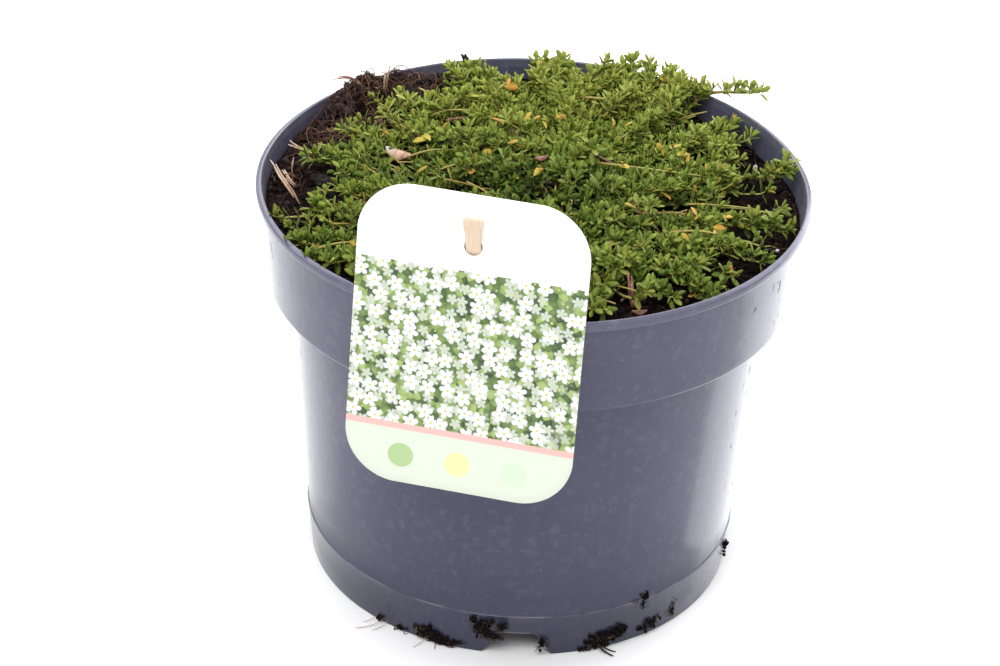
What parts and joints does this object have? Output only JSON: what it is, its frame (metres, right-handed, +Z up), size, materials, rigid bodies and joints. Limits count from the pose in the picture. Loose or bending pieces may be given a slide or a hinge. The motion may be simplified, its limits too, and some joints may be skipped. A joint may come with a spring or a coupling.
{
  "type": "potted creeping thyme",
  "caption": "Low mat of trailing thyme stems with tiny leaves in a round dark nursery pot, with a plain plant card on a wooden stick leaning on the rim.",
  "frame": {"origin": "centre of the whole model's plan box, on the surface that the pot stands on", "axes": "+Z up; -Y towards the side where the card leans on the rim, which is the front; +X to the right seen from the front"},
  "size_m": [0.19, 0.2026, 0.1884],
  "materials": {
    "pot_plastic": "injection moulded polypropylene, dark blue-grey, semi-gloss",
    "peat_compost": "moist dark peat compost with crumbs and fibres",
    "thyme_wood": "old woody limbs with thin brown bark",
    "thyme_leaf": "small smooth leaves, yellow-green to blue-green, on olive to reddish stems",
    "card_plastic": "thin printed white plastic sheet, low sheen",
    "stick_wood": "plain sawn softwood",
    "dry_straw": "dry straw, faded tan",
    "dry_leaf": "dead curled leaf, pinkish brown",
    "dark_bark": "dark rough bark and twig"
  },
  "bodies": {
    "root": {"pot": "pot_plastic", "compost": "peat_compost", "compost_heap": "peat_compost", "thyme_crown": "thyme_wood", "thyme_stem_right_01": "thyme_leaf", "thyme_stem_right_02": "thyme_leaf", "thyme_stem_right_03": "thyme_leaf", "thyme_stem_right_04": "thyme_leaf", "thyme_stem_right_05": "thyme_leaf", "thyme_stem_right_06": "thyme_leaf", "thyme_stem_right_07": "thyme_leaf", "thyme_stem_right_08": "thyme_leaf", "thyme_stem_right_09": "thyme_leaf", "thyme_stem_right_10": "thyme_leaf", "thyme_stem_right_11": "thyme_leaf", "thyme_stem_right_12": "thyme_leaf", "thyme_stem_right_13": "thyme_leaf", "thyme_stem_right_14": "thyme_leaf", "thyme_stem_right_15": "thyme_leaf", "thyme_stem_right_16": "thyme_leaf", "thyme_stem_right_17": "thyme_leaf", "thyme_stem_right_18": "thyme_leaf", "thyme_stem_left_01": "thyme_leaf", "thyme_stem_left_02": "thyme_leaf", "thyme_stem_left_03": "thyme_leaf", "thyme_stem_left_04": "thyme_leaf", "thyme_stem_left_05": "thyme_leaf", "thyme_stem_left_06": "thyme_leaf", "thyme_stem_left_07": "thyme_leaf", "thyme_stem_left_08": "thyme_leaf", "thyme_stem_left_09": "thyme_leaf", "thyme_stem_left_10": "thyme_leaf", "thyme_stem_left_11": "thyme_leaf", "thyme_stem_left_12": "thyme_leaf", "thyme_stem_left_13": "thyme_leaf", "thyme_stem_left_14": "thyme_leaf", "thyme_stem_left_15": "thyme_leaf", "thyme_stem_left_16": "thyme_leaf", "thyme_stem_left_17": "thyme_leaf", "thyme_stem_left_18": "thyme_leaf", "thyme_stem_front_1": "thyme_leaf", "thyme_stem_front_2": "thyme_leaf", "thyme_stem_over_rim": "thyme_leaf", "label_card": "card_plastic", "label_stick": "stick_wood", "straw_left_long": "dry_straw", "straw_left_short": "dry_straw", "straw_back_left": "dry_straw", "straw_in_heap": "dry_straw", "twig_at_back": "dark_bark", "dry_stub_front": "dry_straw", "dry_leaf_at_back": "dry_leaf", "bark_chip_left": "dark_bark"}
  },
  "joints": []
}
